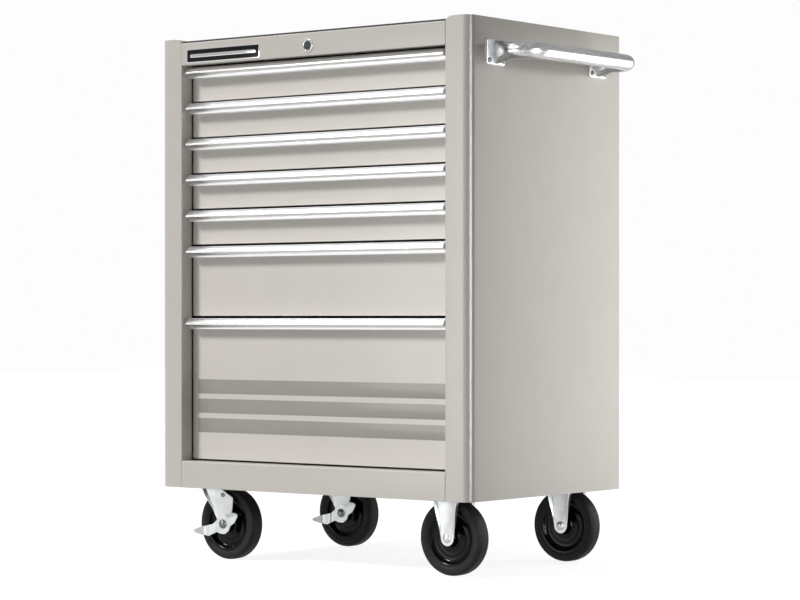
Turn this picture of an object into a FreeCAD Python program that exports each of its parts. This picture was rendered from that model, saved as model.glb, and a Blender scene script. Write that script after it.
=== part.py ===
import FreeCAD, Part
import Sketcher
import math
import os
import re

# Rolling tool chest: a sheet-steel cabinet with seven drawers on two fixed and two swivel
# casters. Millimetres. X runs to the right, Y to the back, Z up from the floor. The origin is
# on the floor under the middle of the whole chest, its side grab handle included.

DIMENSIONS = {
    # cabinet
    "body_width": 677, "body_depth": 438, "body_height": 786.5, "floor_gap": 125.5,
    "sheet": 1.2, "corner_radius": 16, "fold_radius": 2,
    "post_width": 49, "post_depth": 27, "post_lip": 10, "post_rise": 7.4, "post_round": 22,
    "back_flange": 16, "top_lip": 12, "mat_thick": 3,
    "fascia_height": 39.2, "fascia_depth": 22, "rail_height": 47, "pan_recess": 30,
    # drawers
    "unit": 62.8, "first_top": 736.2, "drawer_gap": 4.4, "side_gap": 3.2, "handle_inset": 3.3,
    "front_thick": 12, "tray_depth": 376, "tray_sheet": 1, "tray_drop": 10, "tray_lift": 3,
    "handle_height": 19, "handle_reach": 25, "handle_wall": 2,
    # slides
    "slide_clear": 0.8, "slide_space": 12.7, "slide_height": 35, "slide_sheet": 1.2, "slide_length": 368,
    "upright_width": 30, "upright_depth": 20,
    # lock
    "lock_height": 757, "lock_radius": 11, "lock_proud": 2, "barrel_radius": 8, "key_slot": 1.4,
    "rod_radius": 4, "crank_radius": 7, "crank_pin": 2.5, "crank_arm": 7, "crank_sheet": 3,
    "pin_clear": 0.6, "bar_width": 24, "bar_sheet": 2, "bar_foot": 12, "bar_above": 10,
    "keeper_wide": 3, "keeper_high": 14, "keeper_clear": 0.5,
    "catch_half": 9, "catch_reach": 8, "catch_sheet": 2, "catch_drop": 12,
    "hook_half": 6, "hook_sheet": 2, "hook_high": 10, "hook_below": 14, "hook_clear": 2.5,
    # grab handle
    "grab_radius": 13.5, "grab_wall": 1.5, "grab_offset": 74, "grab_bend": 28,
    "grab_height": 730, "grab_end": 70, "grab_flare": 36, "flare_half": 19, "flare_thick": 8,
    "plate_long": 50, "plate_high": 42, "plate_thick": 3,
    # casters
    "wheel_radius": 62.5, "tyre_half": 14, "tyre_inner": 48, "tyre_shoulder": 8, "wheel_inset_y": 56,
    "fixed_inset": 71.5, "swivel_inset": 117, "trail": 34, "axle_radius": 5,
    "hub_half": 17.6, "hub_boss": 13, "running_gap": 0.06,
    "leg_half": 20.5, "leg_sheet": 2.5, "leg_foot": 13, "leg_rim": 9, "rim_start": 14,
    "fixed_flare": 29, "fixed_crown": 40, "swivel_front": 24, "shoulder_low": 47,
    "shoulder_high": 60.5, "swivel_rear": 51, "crown_half": 28,
    "plate_caster": 4, "plate_half": 28, "plate_reach": 50, "race_height": 12, "race_radius": 27,
    "king_pin": 6, "king_head": 10, "king_head_high": 3,
    "lever_sheet": 2.5, "lever_gap": 0.4, "lever_boss": 16, "pedal_arm": 58, "pedal_long": 26,
    "pedal_deep": 14, "shoe_arm": 36,
    "bolt_head": 6, "bolt_high": 5, "screw_head": 4, "screw_high": 3, "screw_inset": 6,
    "axle_head": 8, "axle_head_high": 4.5, "nut_high": 6,
}

NODES = []
doc = FreeCAD.newDocument("rolling_tool_chest")
dims = doc.addObject("Spreadsheet::Sheet", "dims")
for row, (word, number) in enumerate(DIMENSIONS.items(), start=1):
    dims.set("A%d" % row, word)
    dims.set("B%d" % row, str(number))
    dims.setAlias("B%d" % row, word)
doc.recompute()

# Places that many sub-parts share, as expressions over the sheet.
X_MID = "(-(grab_offset+grab_radius)/2)"
X_LEFT = "(%s-body_width/2)" % X_MID
X_RIGHT = "(%s+body_width/2)" % X_MID
Y_FRONT = "((lock_proud-body_depth)/2)"
Y_BACK = "((lock_proud+body_depth)/2)"
Y_DRAWER = "(%s+post_depth)" % Y_FRONT
Z_BODY = "floor_gap"
Z_TOP = "(floor_gap+body_height)"
Z_FASCIA = "(floor_gap+body_height-post_rise)"
Z_PAN = "(floor_gap+pan_recess)"
DRAWER_UNITS = [1, 1, 1, 1, 1, 2, 4]
OPENING = "(body_width-2*post_width)"
FACE = "(%s/2-slide_clear)" % OPENING
TRAY_HALF = "(%s-slide_space)" % FACE
Y_REAR_TRAY = "(%s+tray_depth)" % Y_DRAWER
Z_LOCK = "(floor_gap+lock_height)"
BAR_X = "(%s+5)" % X_MID
BAR_Y = "(%s+12)" % Y_REAR_TRAY


def bound(text):
    """The expression with every sheet alias written as dims.alias."""
    return re.sub(r"[a-z_]+", lambda m: "dims." + m[0] if m[0] in DIMENSIONS else m[0], str(text))


def value(text):
    """The number that an expression over the sheet has now."""
    names = {word: dims.getPropertyByName(word) for word in DIMENSIONS}
    spelled = re.sub(r"[a-z_]+", lambda m: "%.9f" % names[m[0]] if m[0] in names else m[0],
                     str(text))
    return FreeCAD.Units.Quantity(spelled).Value


def bind(thing, **fields):
    """Bind properties to expressions; a double underscore in a name is a dot."""
    for field, text in fields.items():
        thing.setExpression(field.replace("__", "."), bound(text))


def at(thing, x="0", y="0", z="0"):
    """Bind where a primitive stands."""
    bind(thing, Placement__Base__x=x, Placement__Base__y=y, Placement__Base__z=z)
    return thing


def box(x0, x1, y0, y1, z0, z1):
    """A box between two corners given as expressions."""
    thing = doc.addObject("Part::Box", "box")
    bind(thing, Length="(%s)-(%s)" % (x1, x0), Width="(%s)-(%s)" % (y1, y0),
         Height="(%s)-(%s)" % (z1, z0))
    return at(thing, x0, y0, z0)


def tilted_box(x0, x1, y0, y1, z0, z1, angle, about=("0", "0")):
    """A box turned about a line along Y through an X and Z place, in degrees from +X to +Z."""
    thing = box(x0, x1, y0, y1, z0, z1)
    spin = FreeCAD.Rotation(FreeCAD.Vector(0, 1, 0), -angle)
    thing.Placement = FreeCAD.Placement(FreeCAD.Vector(), spin)
    cosine, sine = "cos(%d deg)" % angle, "sin(%d deg)" % angle
    return at(thing, "%s+(%s)*%s-(%s)*%s" % (about[0], x0, cosine, z0, sine), y0,
              "%s+(%s)*%s+(%s)*%s" % (about[1], x0, sine, z0, cosine))


def cylinder(radius, length, x, y, z, along="Z"):
    """A cylinder that starts at a point and runs along +X, +Y or +Z."""
    thing = doc.addObject("Part::Cylinder", "cylinder")
    turn = {"X": ((0, 1, 0), 90), "Y": ((1, 0, 0), -90), "Z": ((0, 0, 1), 0)}[along]
    spin = FreeCAD.Rotation(FreeCAD.Vector(*turn[0]), turn[1])
    thing.Placement = FreeCAD.Placement(FreeCAD.Vector(), spin)
    bind(thing, Radius=radius, Height=length)
    return at(thing, x, y, z)


def fuse(pieces):
    """One shape of several, kept as a compound solid where they are apart."""
    if len(pieces) == 1:
        return pieces[0]
    thing = doc.addObject("Part::MultiFuse", "fuse")
    thing.Shapes = pieces
    thing.Refine = True
    return thing


def cut(base, tools):
    """The base less every tool."""
    thing = doc.addObject("Part::Cut", "cut")
    thing.Base = base
    thing.Tool = fuse(tools)
    return thing


def node(name, thing):
    """Name a finished sub-part: its label is its node and its file."""
    thing.Label = name
    NODES.append(thing)
    return thing


def new_body(name):
    """An empty body."""
    return doc.addObject("PartDesign::Body", name)


def sketch(body, plane, offset="0"):
    """An empty sketch on one of the body's origin planes, moved along the plane's normal."""
    thing = body.newObject("Sketcher::SketchObject", "sketch")
    face = [f for f in body.Origin.OriginFeatures if f.Role == plane][0]
    thing.AttachmentSupport = [(face, "")]
    thing.MapMode = "FlatFace"
    bind(thing, AttachmentOffset__Base__z=offset)
    return thing


def arc_through(start, end, radius, bulge):
    """The short arc between two points; bulge 1 swells to the right of the way, -1 to the left."""
    chord = end - start
    middle = (start + end) / 2
    right = FreeCAD.Vector(chord.y, -chord.x, 0).normalize()
    rise = math.sqrt(max(radius ** 2 - (chord.Length / 2) ** 2, 0))
    centre = middle - right * rise * bulge
    first = math.atan2(start.y - centre.y, start.x - centre.x)
    last = math.atan2(end.y - centre.y, end.x - centre.x)
    if bulge < 0:
        first, last = last, first
    circle = Part.Circle(centre, FreeCAD.Vector(0, 0, 1), radius)
    return Part.ArcOfCircle(circle, first, last), bulge < 0


def outline(drawing, corners):
    """Draw a closed outline. A corner is (x, y) or (x, y, radius, bulge) where an arc leaves it.

    Every corner is held by its distances from the origin, bound to the sheet."""
    points = [FreeCAD.Vector(value(c[0]), value(c[1]), 0) for c in corners]
    for i, corner in enumerate(corners):
        start, end = points[i], points[(i + 1) % len(points)]
        end_held = 1
        if len(corner) == 4:
            shape, swapped = arc_through(start, end, value(corner[2]), corner[3])
            edge = drawing.addGeometry(shape, False)
            end_held = 2 if swapped else 1
        else:
            edge = drawing.addGeometry(Part.LineSegment(start, end), False)
        for kind, number, text in (("DistanceX", start.x, corner[0]), ("DistanceY", start.y, corner[1])):
            held = drawing.addConstraint(Sketcher.Constraint(kind, -1, 1, edge, end_held, number))
            drawing.setExpression("Constraints[%d]" % held, bound(text))
    return drawing


def circle(drawing, x, y, radius):
    """Draw a circle whose centre and radius are bound to the sheet."""
    centre = FreeCAD.Vector(value(x), value(y), 0)
    edge = drawing.addGeometry(Part.Circle(centre, FreeCAD.Vector(0, 0, 1), value(radius)), False)
    for kind, number, text in (("DistanceX", centre.x, x), ("DistanceY", centre.y, y)):
        held = drawing.addConstraint(Sketcher.Constraint(kind, -1, 1, edge, 3, number))
        drawing.setExpression("Constraints[%d]" % held, bound(text))
    held = drawing.addConstraint(Sketcher.Constraint("Radius", edge, value(radius)))
    drawing.setExpression("Constraints[%d]" % held, bound(radius))
    return drawing


def pad(body, drawing, length, backwards=False):
    """Extrude a sketch along its plane's normal, or against it."""
    thing = body.newObject("PartDesign::Pad", "pad")
    thing.Profile = drawing
    thing.Reversed = backwards
    bind(thing, Length=length)
    return thing


def pocket(body, drawing, length, backwards=False):
    """Cut a sketch out of the body and check that it removed something."""
    before = body.Shape.Volume
    thing = body.newObject("PartDesign::Pocket", "pocket")
    thing.Profile = drawing
    thing.Reversed = backwards
    bind(thing, Length=length)
    doc.recompute()
    if not thing.Shape.Volume < before - 1:
        raise RuntimeError("a pocket cut nothing in " + body.Name)
    return thing


def fillet(body, feature, radius, wanted):
    """Round the straight edges of a feature whose middle passes the test."""
    doc.recompute()
    names = ["Edge%d" % (i + 1) for i, edge in enumerate(feature.Shape.Edges) if wanted(edge)]
    thing = body.newObject("PartDesign::Fillet", "fillet")
    thing.Base = (feature, names)
    bind(thing, Radius=radius)
    return thing


def upright_edge_at(x, y):
    """A test for the vertical edge that stands at x, y."""
    place = FreeCAD.Vector(value(x), value(y), 0)

    def test(edge):
        ends = [FreeCAD.Vector(v.Point.x, v.Point.y, 0) for v in edge.Vertexes]
        return len(ends) == 2 and all((end - place).Length < 0.01 for end in ends)
    return test


# Cabinet -------------------------------------------------------------------------------------

def side_panel(name, outer, inward):
    """A side with its front post folded in one sheet: wall, round corner, post face, return."""
    def across(distance):
        return "(%s+(%d)*(%s))" % (outer, inward, distance)

    plan = [("0", Y_FRONT), ("0", Y_BACK), ("back_flange", Y_BACK),
            ("back_flange", Y_BACK + "-sheet"), ("sheet", Y_BACK + "-sheet"),
            ("sheet", Y_FRONT + "+sheet"), ("post_width-sheet", Y_FRONT + "+sheet"),
            ("post_width-sheet", Y_DRAWER + "-sheet"),
            ("post_width-post_lip", Y_DRAWER + "-sheet"),
            ("post_width-post_lip", Y_DRAWER), ("post_width", Y_DRAWER), ("post_width", Y_FRONT)]
    body = new_body(name)
    section = outline(sketch(body, "XY_Plane", Z_BODY), [(across(u), y) for u, y in plan])
    wall = pad(body, section, "body_height")
    rounds = [("0", Y_FRONT, "corner_radius"), ("sheet", Y_FRONT + "+sheet", "corner_radius-sheet"),
              ("post_width", Y_FRONT, "fold_radius"),
              ("post_width-sheet", Y_FRONT + "+sheet", "fold_radius-sheet")]
    for u, y, radius in rounds:
        wall = fillet(body, wall, radius, upright_edge_at(across(u), y))
    # The post's top falls to the fascia in one round sweep.
    start = across("post_width-sqrt(2*post_round*post_rise-post_rise*post_rise)")
    bulge = 1 if inward < 0 else -1
    sweep = [(start, Z_TOP, "post_round", bulge), (across("post_width"), Z_FASCIA),
             (across("post_width+1"), Z_FASCIA), (across("post_width+1"), Z_TOP + "+1"),
             (start, Z_TOP + "+1")]
    drawing = sketch(body, "XZ_Plane", "-(%s)-1" % Y_DRAWER)
    outline(drawing, sweep)
    pocket(body, drawing, "post_depth+2", True)
    # A lip folds inwards along the wall's top.
    inner, folded = across("sheet/2"), across("top_lip")
    lip_front, lip_back = Y_FRONT + "+sheet/2+corner_radius", Y_BACK + "-sheet/2"
    lip = sketch(body, "XY_Plane", Z_TOP + "-sheet")
    outline(lip, [(inner, lip_front), (inner, lip_back), (folded, lip_back), (folded, lip_front)])
    pad(body, lip, "sheet")
    # A thin cap closes the post under the same sweep.
    cap = sketch(body, "XZ_Plane", "-(%s)+sheet/2" % Y_DRAWER)
    outline(cap, [(inner, Z_TOP), (start, Z_TOP, "post_round", bulge),
                  (across("post_width"), Z_FASCIA),
                  (across("post_width"), Z_FASCIA + "-sheet", "post_round", -bulge),
                  (start, Z_TOP + "-sheet"), (inner, Z_TOP + "-sheet")])
    pad(body, cap, "post_depth-sheet-corner_radius/2")
    return node(name, body)


def rail_along_x(name, corners, x0, x1, rounds):
    """A folded strip between the posts: a section in the YZ plane run from x0 to x1."""
    body = new_body(name)
    section = outline(sketch(body, "YZ_Plane", x0), corners)
    strip = pad(body, section, "(%s)-(%s)" % (x1, x0))
    for y, z, radius in rounds:
        place = FreeCAD.Vector(0, value(y), value(z))
        strip = fillet(body, strip, radius, lambda edge: len(edge.Vertexes) == 2 and all(
            (FreeCAD.Vector(0, v.Point.y, v.Point.z) - place).Length < 0.01 for v in edge.Vertexes))
    return body


def between_posts(margin="0"):
    """The two X places of the posts' inner faces, moved in by a margin."""
    return "(%s+post_width+(%s))" % (X_LEFT, margin), "(%s-post_width-(%s))" % (X_RIGHT, margin)


def cabinet():
    """The welded carcass, its top and its rails."""
    side_panel("left_side_panel", X_LEFT, 1)
    side_panel("right_side_panel", X_RIGHT, -1)
    x0, x1 = X_LEFT + "+sheet", X_RIGHT + "-sheet"
    post0, post1 = between_posts()
    y_back = Y_BACK + "-2*sheet"

    back = box(x0, x1, y_back, Y_BACK + "-sheet", Z_BODY, Z_FASCIA + "-sheet")
    near, far = "bar_width/2+keeper_clear", "bar_width/2+keeper_clear+keeper_wide"
    keepers = []
    for low in (Z_PAN + "+40", Z_PAN + "+330", Z_PAN + "+600"):
        for a, b in (("-(%s)" % far, "-(%s)" % near), (near, far)):
            keepers.append(box("%s+%s" % (BAR_X, a), "%s+%s" % (BAR_X, b), BAR_Y, y_back,
                               low, low + "+keeper_high"))
    node("back_panel", fuse([back] + keepers))

    node("bottom_pan", fuse([box(x0, x1, Y_DRAWER, y_back, Z_PAN, Z_PAN + "+sheet"),
                             box(x0, x1, y_back + "-sheet", y_back, Z_BODY, Z_PAN)]))
    node("top_plate", fuse([box(x0, x1, Y_DRAWER, y_back, Z_FASCIA + "-sheet", Z_FASCIA),
                            box(post0, post1, Y_FRONT + "+fascia_depth", Y_DRAWER,
                                Z_FASCIA + "-sheet", Z_FASCIA)]))
    mat0, mat1 = between_posts("1")
    level = (Z_FASCIA, Z_FASCIA + "+mat_thick")
    node("top_mat", fuse([box(mat0, mat1, Y_FRONT + "+2", Y_DRAWER + "+1", *level),
                          box(x0 + "+0.5", x1 + "-0.5", Y_DRAWER + "+1", y_back + "-1", *level)]))

    low, high = Z_FASCIA + "-fascia_height", Z_FASCIA
    depth = Y_FRONT + "+fascia_depth"
    section = [(Y_FRONT, low), (Y_FRONT, high), (depth, high), (depth, high + "-sheet"),
               (Y_FRONT + "+sheet", high + "-sheet"), (Y_FRONT + "+sheet", low + "+sheet"),
               (depth, low + "+sheet"), (depth, low)]
    strip = rail_along_x("lock_fascia_strip", section, post0, post1,
                         [(Y_FRONT, high, "fold_radius"), (Y_FRONT, low, "fold_radius/2")])
    hole = cylinder("lock_radius-1.4", "4", X_MID, Y_FRONT + "-1", Z_LOCK, "Y")
    node("lock_fascia", cut(strip, [hole]))

    low, high = Z_BODY, Z_BODY + "+rail_height"
    lip = Y_DRAWER + "-0.5"
    section = [(Y_FRONT, low), (Y_FRONT, high), (lip, high), (lip, high + "-15"),
               (lip + "-sheet", high + "-15"), (lip + "-sheet", high + "-sheet"),
               (Y_FRONT + "+sheet", high + "-sheet"), (Y_FRONT + "+sheet", low)]
    node("bottom_rail", rail_along_x("bottom_rail_strip", section, post0, post1,
                                     [(Y_FRONT, high, "fold_radius*1.5")]))


# Drawers -------------------------------------------------------------------------------------

def drawer_span(number):
    """The lower and upper Z of a drawer's front, counted from the top."""
    above = sum(DRAWER_UNITS[:number - 1])
    top = "(floor_gap+first_top-%d*unit)" % above
    return "(%s-%d*unit+drawer_gap)" % (top, DRAWER_UNITS[number - 1]), top


def slide_middle(number):
    """The height of a drawer's slides."""
    return "(%s+tray_lift+2.5+slide_height/2)" % drawer_span(number)[0]


def channel(side, near, far, web, half, wall, z, y0, y1):
    """A C-section slide member on one side. near and far are its distances from the upright's
    face, web is what the hollow spans; half is half its height and wall its flanges' thickness."""
    def span(a, b):
        ends = ["%s+(%d)*(%s-(%s))" % (X_MID, side, FACE, d) for d in (a, b)]
        return ends if side < 0 else ends[::-1]

    outer = span(near, far)
    inner = span(*web)
    shell = box(outer[0], outer[1], y0, y1, "%s-%s" % (z, half), "%s+%s" % (z, half))
    hollow = box(inner[0], inner[1], y0, y1, "%s-(%s-%s)" % (z, half, wall),
                 "%s+(%s-%s)" % (z, half, wall))
    return cut(shell, [hollow])


def handle(number):
    """The full-width extruded pull: a rolled front with a groove, open underneath for fingers."""
    low, top = drawer_span(number)
    base = "(%s-handle_height)" % top

    def out(distance):
        return "(%s-(%s))" % (Y_DRAWER, distance)

    def up(height):
        return "(%s+%s)" % (base, height)

    corners = [(out("0"), up("0")), (out("0"), up("handle_height")),
               (out("15"), up("handle_height"), "4", -1),
               (out("18.6"), up("handle_height-2.3")), (out("handle_reach-1"), up("11")),
               (out("handle_reach-2"), up("10.4")), (out("handle_reach-2"), up("9.6")),
               (out("handle_reach"), up("9")), (out("handle_reach"), up("8"), "14", -1),
               (out("12.5"), up("0")), (out("12.5"), up("handle_wall"), "12", 1),
               (out("handle_reach-2-handle_wall"), up("9.3")),
               (out("17"), up("handle_height-handle_wall-1.5")),
               (out("14"), up("handle_height-handle_wall")),
               (out("handle_wall"), up("handle_height-handle_wall")), (out("handle_wall"), up("0"))]
    x0, x1 = between_posts("side_gap+handle_inset")
    body = new_body("drawer_%d_handle_profile" % number)
    pad(body, outline(sketch(body, "YZ_Plane", x0), corners), "(%s)-(%s)" % (x1, x0))
    return node("drawer_%d_handle" % number, body)


def tray(number):
    """A drawer: the folded front, the open box behind it and the catch that the lock bar holds."""
    low, top = drawer_span(number)
    rim = top + "-tray_drop"
    y0, y1 = Y_DRAWER, Y_DRAWER + "+front_thick"
    left, right = between_posts("side_gap")
    front = cut(box(left, right, y0, y1, low, top),
                [box(left + "+tray_sheet", right + "-tray_sheet", y0 + "+tray_sheet", y1,
                     low + "+tray_sheet", top + "-tray_sheet")])
    lining = box(left, right, y1 + "-tray_sheet", y1, low, rim)
    left, right = "%s-%s" % (X_MID, TRAY_HALF), "%s+%s" % (X_MID, TRAY_HALF)
    pan = cut(box(left, right, y1 + "-tray_sheet", Y_REAR_TRAY, low + "+tray_lift", rim),
              [box(left + "+tray_sheet", right + "-tray_sheet", y1, Y_REAR_TRAY + "-tray_sheet",
                   low + "+tray_lift+tray_sheet", rim + "+1")])
    end = Y_REAR_TRAY + "+catch_reach"
    low_x, high_x = BAR_X + "-catch_half", BAR_X + "+catch_half"
    catch = [box(low_x, high_x, Y_REAR_TRAY, end, rim + "-catch_sheet", rim),
             box(low_x, high_x, end + "-catch_sheet", end, rim + "-catch_drop", rim)]
    node("drawer_%d_tray" % number, fuse([front, lining, pan] + catch))


def drawers():
    """Seven drawers with their pulls and three-part slides."""
    y0 = Y_DRAWER + "+front_thick+2"
    y1 = y0 + "+slide_length"
    fixed = []
    for number in range(1, len(DRAWER_UNITS) + 1):
        tray(number)
        handle(number)
        z = slide_middle(number)
        sides = (-1, 1)
        fixed += [channel(side, "0", "8", ("slide_sheet", "8"), "slide_height/2", "slide_sheet", z, y0, y1)
                  for side in sides]
        node("drawer_%d_slide_middles" % number, fuse(
            [channel(side, "1.8", "9.5", ("1.8+slide_sheet", "9.5"), "(slide_height/2-1.7)",
                     "slide_sheet", z, y0 + "+2", y1 + "-2") for side in sides]))
        node("drawer_%d_runners" % number, fuse(
            [channel(side, "3.6", "slide_space", ("3.6", "slide_space-slide_sheet"),
                     "(slide_height/2-3.5)", "slide_sheet", z, y0, Y_REAR_TRAY)
             for side in sides]))
    node("cabinet_slide_rails", fuse(fixed))

    uprights = []
    tall = (Z_PAN + "+sheet", Z_FASCIA + "-sheet")
    for side in (-1, 1):
        for back in ("30", "300"):
            wall = "%s+(%d)*(body_width/2-sheet)" % (X_MID, side)
            ends = ["%s+(%d)*%s" % (X_MID, side, FACE), wall]
            web = ["%s+(%d)*(%s+sheet)" % (X_MID, side, FACE), wall]
            if side < 0:
                ends.reverse()
                web.reverse()
            y0 = "%s+%s" % (Y_DRAWER, back)
            y1 = y0 + "+upright_width"
            uprights.append(cut(box(*ends, y0, y1, *tall),
                                [box(*web, y0 + "+sheet", y1 + "-sheet", *tall)]))
    node("slide_uprights", fuse(uprights))


# Lock ----------------------------------------------------------------------------------------

def lock():
    """A quarter-turn barrel whose long rod cranks a bar behind the drawers up and down."""
    node("lock_housing", cut(
        fuse([cylinder("lock_radius", "lock_proud", X_MID, Y_FRONT + "-lock_proud", Z_LOCK, "Y"),
              cylinder("lock_radius-1.5", "16", X_MID, Y_FRONT, Z_LOCK, "Y")]),
        [cylinder("barrel_radius+running_gap", "30", X_MID, Y_FRONT + "-5", Z_LOCK, "Y")]))

    # The crank hangs 45 degrees below level, to the right, when the drawers are free.
    reach = "(crank_radius*sqrt(0.5))"
    pin_x, pin_z = "%s+%s" % (X_MID, reach), "%s-%s" % (Z_LOCK, reach)
    crank = tilted_box("0", "crank_radius+4", BAR_Y + "-1-crank_sheet", BAR_Y + "-1",
                       "-crank_arm/2", "crank_arm/2", -45, (X_MID, Z_LOCK))
    solid = fuse([cylinder("barrel_radius", "24", X_MID, Y_FRONT + "-lock_proud+0.6", Z_LOCK, "Y"),
                  cylinder("rod_radius", "%s-1-(%s)" % (BAR_Y, Y_FRONT), X_MID, Y_FRONT, Z_LOCK, "Y"),
                  crank, cylinder("crank_pin", "bar_sheet+5", pin_x, BAR_Y + "-2", pin_z, "Y")])
    keyway = box(X_MID + "-key_slot/2", X_MID + "+key_slot/2", Y_FRONT + "-lock_proud",
                 Y_FRONT + "+8", Z_LOCK + "-barrel_radius/2", Z_LOCK + "+barrel_radius/2")
    node("lock_barrel", cut(solid, [keyway]))

    strip = box(BAR_X + "-bar_width/2", BAR_X + "+bar_width/2", BAR_Y, BAR_Y + "+bar_sheet",
                Z_PAN + "+bar_foot", Z_LOCK + "+bar_above")
    slot = box(pin_x + "-crank_pin-pin_clear", X_MID + "+crank_radius+crank_pin+pin_clear",
               BAR_Y + "-1", BAR_Y + "+bar_sheet+1",
               pin_z + "-crank_pin-0.4", pin_z + "+crank_pin+0.4")
    hooks = []
    for number in range(1, len(DRAWER_UNITS) + 1):
        tip = drawer_span(number)[1] + "-tray_drop-hook_below"
        root = tip + "-hook_high"
        y0 = Y_REAR_TRAY + "+hook_clear"
        low_x, high_x = BAR_X + "-hook_half", BAR_X + "+hook_half"
        hooks.append(box(low_x, high_x, y0, BAR_Y, root, root + "+hook_sheet"))
        hooks.append(box(low_x, high_x, y0, y0 + "+hook_sheet", root, tip))
    node("lock_bar", cut(fuse([strip] + hooks), [slot]))


# Grab handle ---------------------------------------------------------------------------------

def grab_handle():
    """A bent chrome tube with flared ends on two plates screwed to the right side."""
    z = "(floor_gap+grab_height)"
    root = "(%s+plate_thick)" % X_RIGHT
    near, far = "(%s+grab_end)" % Y_FRONT, "(%s-grab_end)" % Y_BACK
    out = "(%s+grab_offset)" % X_RIGHT
    start = "(%s+grab_flare)" % X_RIGHT
    body = new_body("grab_tube")
    path = sketch(body, "XY_Plane", z)
    points = [(start, near), (out + "-grab_bend", near, "grab_bend", 1), (out, near + "+grab_bend"),
              (out, far + "-grab_bend", "grab_bend", 1), (out + "-grab_bend", far), (start, far)]
    places = [FreeCAD.Vector(value(p[0]), value(p[1]), 0) for p in points]
    for i in range(len(points) - 1):
        if len(points[i]) == 4:
            bend, _ = arc_through(places[i], places[i + 1], value(points[i][2]), points[i][3])
            path.addGeometry(bend, False)
        else:
            path.addGeometry(Part.LineSegment(places[i], places[i + 1]), False)
    ring = sketch(body, "YZ_Plane", start)
    circle(ring, near, z, "grab_radius")
    tube = body.newObject("PartDesign::AdditivePipe", "pipe")
    tube.Profile = ring
    tube.Spine = path
    for y in (near, far):
        round_end = circle(sketch(body, "YZ_Plane", start), y, z, "grab_radius")
        flat_end = sketch(body, "YZ_Plane", root)
        low, high = z + "-flare_half+flare_thick", z + "+flare_half-flare_thick"
        outline(flat_end, [(y + "-flare_thick", low, "flare_thick", 1), (y + "+flare_thick", low),
                           (y + "+flare_thick", high, "flare_thick", 1), (y + "-flare_thick", high)])
        loft = body.newObject("PartDesign::AdditiveLoft", "loft")
        loft.Profile = flat_end
        loft.Sections = [round_end]
        doc.recompute()
    node("grab_handle_tube", body)

    plates = []
    screws = []
    for y in (near, far):
        plates.append(box(X_RIGHT, root, y + "-plate_long/2", y + "+plate_long/2",
                          z + "-plate_high/2", z + "+plate_high/2"))
        for side in ("-", "+"):
            screws.append(cylinder("screw_head", "screw_high", root,
                                   y + side + "(plate_long/2-screw_inset)",
                                   z + "-plate_high/2+screw_inset+1", "X"))
    node("grab_handle_plates", fuse(plates))
    return screws


# Casters -------------------------------------------------------------------------------------

CASTERS = {
    "front_left": (X_LEFT + "+swivel_inset", Y_FRONT + "+wheel_inset_y"),
    "rear_left": (X_LEFT + "+swivel_inset", Y_BACK + "-wheel_inset_y"),
    "front_right": (X_RIGHT + "-fixed_inset", Y_FRONT + "+wheel_inset_y"),
    "rear_right": (X_RIGHT + "-fixed_inset", Y_BACK + "-wheel_inset_y"),
}


def turned(name, corners, x, y):
    """A round part about the wheel's axle: a section in the YZ plane turned about Y."""
    body = new_body(name)
    section = outline(sketch(body, "YZ_Plane"), corners)
    spin = body.newObject("PartDesign::Revolution", "turn")
    spin.Profile = section
    spin.ReferenceAxis = (section, ["H_Axis"])
    spin.Angle = 360
    at(body, x, y, "wheel_radius")
    return node(name, body)


def wheel(name, x, y):
    """A rubber tyre on a dished hub with a long boss."""
    side, crown = "wheel_radius-tyre_shoulder", "tyre_half-6"
    turned("%s_tyre" % name, [("-tyre_half", "tyre_inner"), ("-tyre_half", side, "tyre_shoulder", -1),
                              ("-(%s)" % crown, "wheel_radius"),
                              (crown, "wheel_radius", "tyre_shoulder", -1),
                              ("tyre_half", side), ("tyre_half", "tyre_inner")], x, y)
    bore = "axle_radius+running_gap"
    rim = [("hub_half", bore), ("hub_half", "hub_boss"), ("5", "hub_boss+4"), ("5", "tyre_inner-11"),
           ("tyre_half-2", "tyre_inner-7"), ("tyre_half-2", "tyre_inner")]
    mirrored = [("-(%s)" % out, r) for out, r in reversed(rim)]
    turned("%s_hub" % name, rim + mirrored, x, y)


def plate_in_xz(name, corners, face, thick, backwards):
    """A plate standing in an XZ plane at a Y place, grown to the front or to the back."""
    body = new_body(name)
    pad(body, outline(sketch(body, "XZ_Plane", "-(%s)" % face), corners), thick, backwards)
    return body


def legs(name, shape, edges):
    """Two pressed legs about the axle at the origin, each with outward rims along tapered edges.

    edges gives, for each rimmed edge, where it leaves the round foot and where it ends."""
    pieces = []
    for side in (-1, 1):
        face = "(%d)*leg_half" % side
        corners = [("-leg_foot", "0", "leg_foot", 1), ("leg_foot", "0")] + shape
        pieces.append(plate_in_xz(name + "_leg", corners, face, "leg_sheet", side < 0))
        for foot_x, far_x, far_z in edges:
            slope = "(((%s)-(%s))/(%s))" % (far_x, foot_x, far_z)
            start_x = "((%s)+%s*rim_start)" % (foot_x, slope)
            thick = "leg_sheet" if foot_x.startswith("-") else "(-leg_sheet)"
            rim = [(start_x, "rim_start"), ("%s+%s" % (start_x, thick), "rim_start"),
                   ("(%s)+%s" % (far_x, thick), far_z), (far_x, far_z)]
            edge = "(%d)*(leg_half-leg_sheet+leg_rim)" % side
            pieces.append(plate_in_xz(name + "_rim", rim, edge, "leg_rim", side < 0))
    return pieces


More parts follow.
